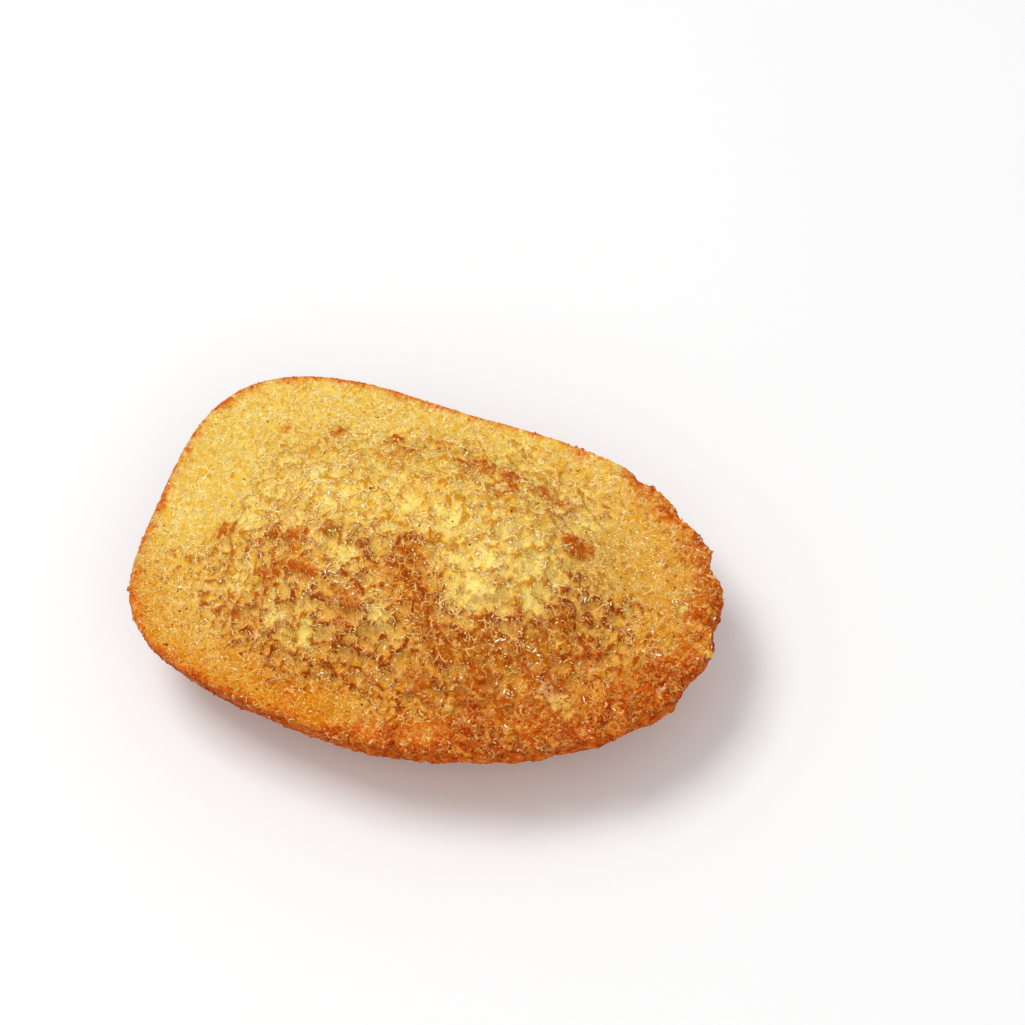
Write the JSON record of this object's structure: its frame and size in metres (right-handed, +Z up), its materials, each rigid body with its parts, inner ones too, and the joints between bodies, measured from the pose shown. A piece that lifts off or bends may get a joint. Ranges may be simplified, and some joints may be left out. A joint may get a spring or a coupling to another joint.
{
  "type": "madeleine cake",
  "caption": "Small shell-shaped sponge cake with a golden open-crumb hump, a browned rim and a fluted, browned underside.",
  "frame": {"origin": "middle of the box's underside, on the surface that the cake rests on", "axes": "+X along the cake towards its broad scalloped end, +Z up out of the hump, ribs below"},
  "size_m": [0.078, 0.0504, 0.0234],
  "materials": {
    "sponge": "moist baked sponge, golden crumb with a browned crust"
  },
  "bodies": {
    "root": {"cake": "sponge"}
  },
  "joints": []
}
